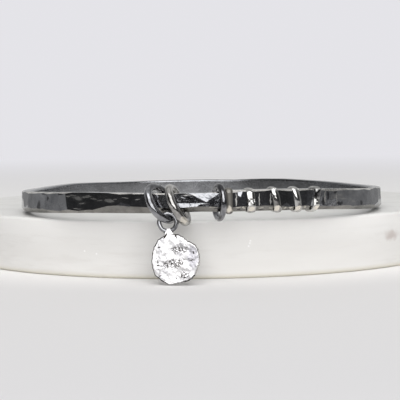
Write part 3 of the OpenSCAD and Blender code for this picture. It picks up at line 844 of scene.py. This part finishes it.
def marbleMaterial():
    material, tree = newMaterial("honedMarble")
    place = addNode(tree, "ShaderNodeTexCoord").outputs["Object"]
    height = addNode(tree, "ShaderNodeSeparateXYZ", Vector=place).outputs["Z"]
    layered = addNode(tree, "ShaderNodeMapping", "lies in layers", Vector=place, Scale=marble["flatten"]).outputs[0]
    clouds = noise(tree, layered, "clouds", **marble["clouds"])
    beds = noise(tree, layered, "fine layers", **marble["beds"])
    grain = noise(tree, place, "grain", **marble["grain"])
    crystals = addNode(tree, "ShaderNodeTexVoronoi", "crystals", Vector=place, Scale=marble["crystalScale"])
    greyer = joinMasks(tree, [scaled(tree, ramp(tree, clouds, *marble["cloudsFrom"]), marble["cloudShare"]),
                              scaled(tree, ramp(tree, beds, *marble["bedsFrom"]), marble["bedShare"])])
    colour = mixColour(tree, greyer, marble["light"], marble["grey"], "faint layers")
    glints = calc(tree, "MULTIPLY", mapRange(tree, crystals.outputs["Distance"], *marble["crystalsFrom"], 1, 0),
                  ramp(tree, clouds, *marble["rareFrom"]))
    specks = [patch(tree, place, Vector(spot) * mm, (marble["speckHalf"],) * 3) for spot in marble["specks"]]
    ragged = wobble(tree, place, *marble["stainWobble"])
    onTop = mapRange(tree, height, *marble["topFrom"], smooth=False)
    veins = mapRange(tree, away01(tree, noise(tree, place, "veins", **marble["veins"])), *marble["veinsFrom"], 1, 0)
    foot = marble["footHeight"]
    masks = {
        "crystals": joinMasks(tree, [glints] + specks),
        "brown stain": patch(tree, ragged, marble["stainAt"], marble["stainHalves"], edge=marble["stainEdge"]),
        # painted light on the side wall's upper part, against the band's shadow
        "painted light above": mapRange(tree, height, *marble["paintedLightFrom"], smooth=False), "upper side": onTop,
        "veins": calc(tree, "MULTIPLY", veins, onTop),
        # the stone is darker and more olive towards its foot
        "darker towards the foot": mapRange(tree, height, 0.1 * foot, foot, 1, 0),
    }
    for name, (tint, share) in marble["layers"].items():
        colour = mixColour(tree, scaled(tree, masks[name], share), colour, tint, name)
    roughness = mapRange(tree, grain, 0, 1, *marble["roughness"], "honed", smooth=False)
    dress(tree, colour, roughness, grain, Strength=0.1, Distance=marble["grainHeight"])
    return material


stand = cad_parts["display_stand"]
stand.data.materials.clear()
stand.data.materials.append(marbleMaterial())
print("stand ready")

floorLook = {
    "size": 8.0, "roughness": 0.8, "specular": 0.2,
    # the paper by the stand's foot (painted light), nearest to the camera (painted shade), in front of the stand, and
    # behind it (painted light)
    "foot": (0.90, 0.885, 0.875), "paintedShadeNear": (0.735, 0.727, 0.735), "front": (0.79, 0.777, 0.773),
    "rear": (0.96, 0.95, 0.945), "footEnds": (0.048, 0.066), "nearestEnds": (-0.13, -0.055), "rearBegins": (-0.05, 0.2),
    # what lies further off, and from where to where each begins, in metres from the middle
    "backdrop": (0.78, 0.775, 0.81), "darkRoom": (0.07, 0.07, 0.075), "dimRoom": (0.33, 0.33, 0.33),
    "backdropBegins": (0.16, 0.58), "darkBegins": (-0.10, -0.18), "dimBegins": (0.10, 0.17),
}

startFresh()
bpy.ops.mesh.primitive_plane_add(size=floorLook["size"])
floor = bpy.context.object
floor.name = "paleFloor"
floorMaterial, floorTree = newMaterial("palePaper")
paper = floorTree.nodes["Principled BSDF"]
paper.inputs["Roughness"].default_value = floorLook["roughness"]
paper.inputs["Specular IOR Level"].default_value = floorLook["specular"]
place = addNode(floorTree, "ShaderNodeTexCoord").outputs["Object"]
fromMiddle = vectorCalc(floorTree, "LENGTH", place)
backwards = addNode(floorTree, "ShaderNodeSeparateXYZ", Vector=place).outputs["Y"]


def floorBlend(label, source, ends, first, second):
    return mixShaders(floorTree, label, mapRange(floorTree, source, *floorLook[ends]), first, second)


glow, dark, dim = [addNode(floorTree, "ShaderNodeEmission", name, Color=floorLook[name], Strength=1.0).outputs[0]
                   for name in ("backdrop", "darkRoom", "dimRoom")]
# painted shade close to the camera, painted light behind the stand and by its foot
paintedShadeNear = mapRange(floorTree, backwards, *floorLook["nearestEnds"], smooth=False)
colour = mixColour(floorTree, paintedShadeNear, floorLook["paintedShadeNear"], floorLook["front"], "painted shade close by")
rear = mapRange(floorTree, backwards, *floorLook["rearBegins"])
colour = mixColour(floorTree, rear, colour, floorLook["rear"], "painted light behind")
foot = mapRange(floorTree, fromMiddle, *floorLook["footEnds"])
colour = mixColour(floorTree, foot, floorLook["foot"], colour, "painted light by the foot")
floorTree.links.new(colour, paper.inputs["Base Color"])
whenSeen = floorBlend("fade into the backdrop", fromMiddle, "backdropBegins", paper.outputs[0], glow)
aroundIt = floorBlend("dimmer further off", fromMiddle, "dimBegins", paper.outputs[0], dim)
whenMirrored = floorBlend("dark in front, out of view", backwards, "darkBegins", aroundIt, dark)
mirrored = addNode(floorTree, "ShaderNodeLightPath").outputs["Is Glossy Ray"]
floorTree.links.new(mixShaders(floorTree, "mirrored", mirrored, whenSeen, whenMirrored),
                    floorTree.nodes["Material Output"].inputs["Surface"])
floor.data.materials.append(floorMaterial)

# how bright the room's sides are in the silver, and where each begins, by the direction's share along the axis
room = {
    "front": 0.05, "left": 0.38, "right": 0.24, "back": 0.6, "above": 0.68, "rightBegins": (-0.2, 0.2),
    "backBegins": (0.3, 0.8), "aboveBegins": (0.75, 0.9), "darkAzimuth": -8, "darkHalf": 85, "darkSoftness": 0.03,
}
world = bpy.context.scene.world or bpy.data.worlds.new("studio")
bpy.context.scene.world = world
world.use_nodes = True
tree = world.node_tree
tree.nodes.clear()
direction = addNode(tree, "ShaderNodeTexCoord").outputs["Generated"]
parts = addNode(tree, "ShaderNodeSeparateXYZ", Vector=direction)


def blendWorld(source, low, high, first, second, label):
    mixed = addNode(tree, "ShaderNodeMix", label, data_type="FLOAT", Factor=mapRange(tree, source, low, high))
    feed(tree, first, mixed.inputs[2])
    feed(tree, second, mixed.inputs[3])
    return mixed.outputs[0]


facing = vectorCalc(tree, "DOT_PRODUCT", direction, outwards(room["darkAzimuth"]))
edge, soft = math.cos(math.radians(room["darkHalf"])), room["darkSoftness"]
sides = blendWorld(parts.outputs["X"], *room["rightBegins"], room["left"], room["right"], "left and right walls")
rear = blendWorld(parts.outputs["Y"], *room["backBegins"], sides, room["back"], "bright backdrop")
front = blendWorld(facing, edge - soft, edge + soft, rear, room["front"], "dark room behind the camera")
whole = blendWorld(parts.outputs["Z"], *room["aboveBegins"], front, room["above"], "ceiling")
walls = addNode(tree, "ShaderNodeBackground", "room", Color=whole, Strength=1.0)
seen = addNode(tree, "ShaderNodeBackground", "backdrop", Color=floorLook["backdrop"], Strength=1.0)
inView = addNode(tree, "ShaderNodeLightPath").outputs["Is Camera Ray"]
choice = mixShaders(tree, "seen or mirrored", inView, walls.outputs[0], seen.outputs[0])
addNode(tree, "ShaderNodeOutputWorld", Surface=choice)

# distance, azimuth and elevation of the light as seen from the bangle, its width and height, and its watts
lights = {
    "frontBox": {"distance": 1.1, "azimuth": 5, "elevation": 28, "size": (1.4, 0.8), "watts": 9.2},
    "overheadBox": {"distance": 1.0, "azimuth": 0, "elevation": 64, "size": (0.9, 0.6), "watts": 3.4},
}
for name, look in lights.items():
    startFresh()
    spot = bangleCentre + outwards(look["azimuth"], look["elevation"]) * look["distance"]
    bpy.ops.object.light_add(type="AREA", location=spot)
    lamp = bpy.context.object
    lamp.name = name
    lamp.data.shape = "RECTANGLE"
    lamp.data.size, lamp.data.size_y = look["size"]
    lamp.data.energy = look["watts"]
    lamp.rotation_euler = (bangleCentre - spot).to_track_quat("-Z", "Y").to_euler()
    lamp.visible_camera = False
bpy.context.scene.view_settings.view_transform = "Standard"
print("light ready")

# riding and hand-over
for node, piece in pieces.items():
    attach(piece, "root")
    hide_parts(node)
